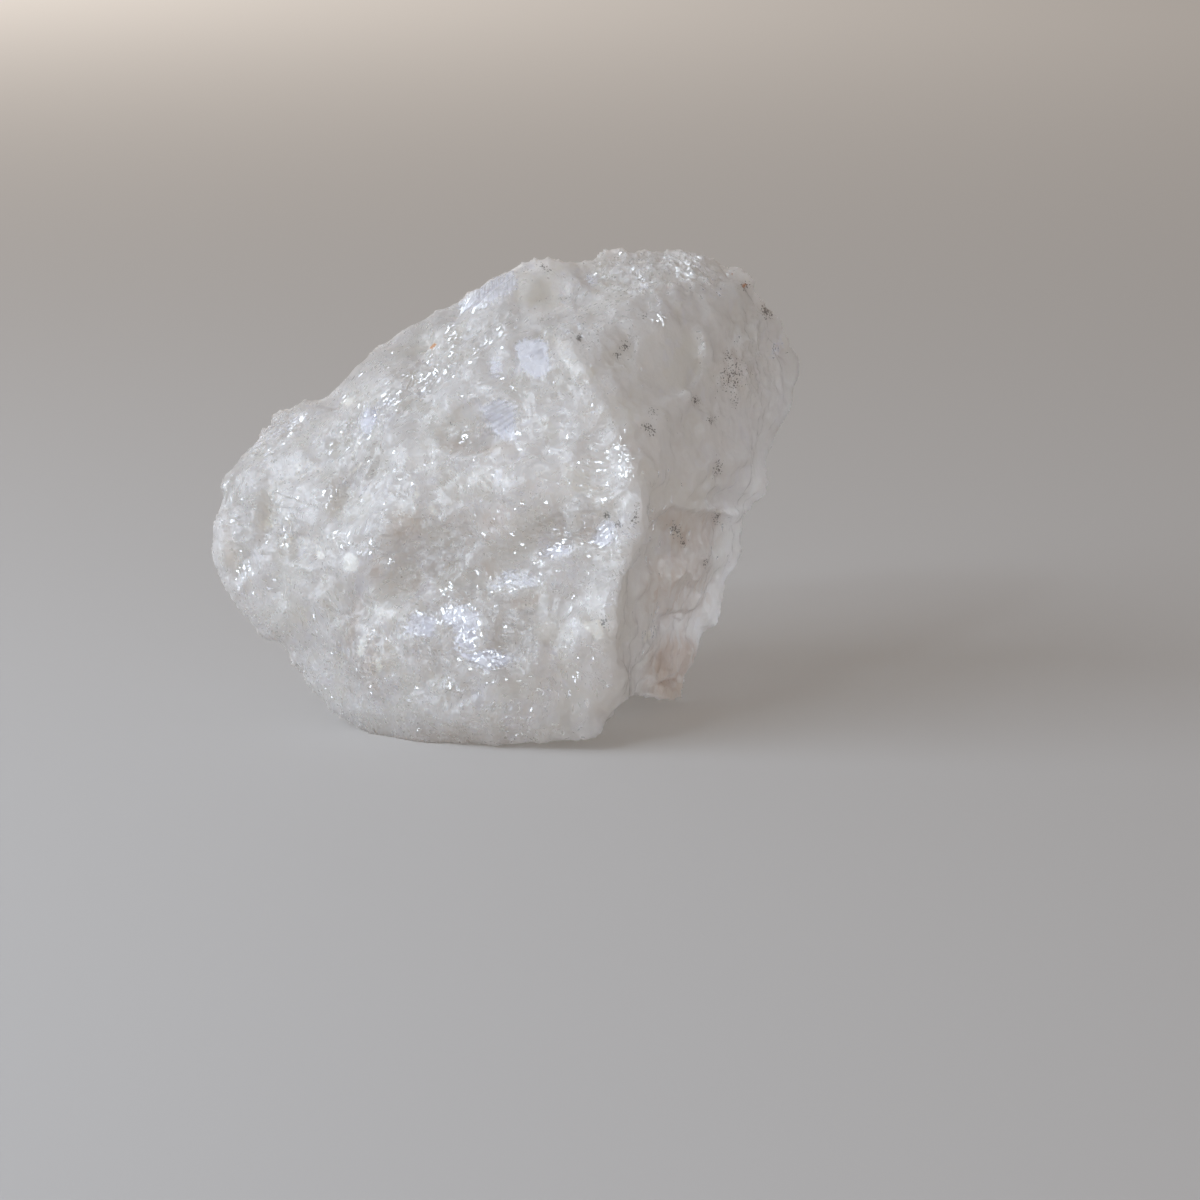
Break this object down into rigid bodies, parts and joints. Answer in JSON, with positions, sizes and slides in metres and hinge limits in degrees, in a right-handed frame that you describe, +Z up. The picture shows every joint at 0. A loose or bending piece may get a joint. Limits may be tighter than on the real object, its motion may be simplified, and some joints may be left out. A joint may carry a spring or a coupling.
{
  "type": "raw quartz crystal",
  "caption": "Raw chunk of milky quartz with broken, scarred faces, sharp ridges and pits, resting on a flat break; a mineral specimen to set on a surface.",
  "frame": {"origin": "on the surface it stands on, under the middle of its bounding box", "axes": "+X to the right in the picture and along the longest side, +Y away from the camera, +Z up"},
  "size_m": [0.0742, 0.0496, 0.0571],
  "materials": {
    "quartz": "glassy broken faces, partly clear and partly milky white, with a few black and orange specks"
  },
  "bodies": {
    "root": {"quartz_crystal": "quartz"}
  },
  "joints": []
}
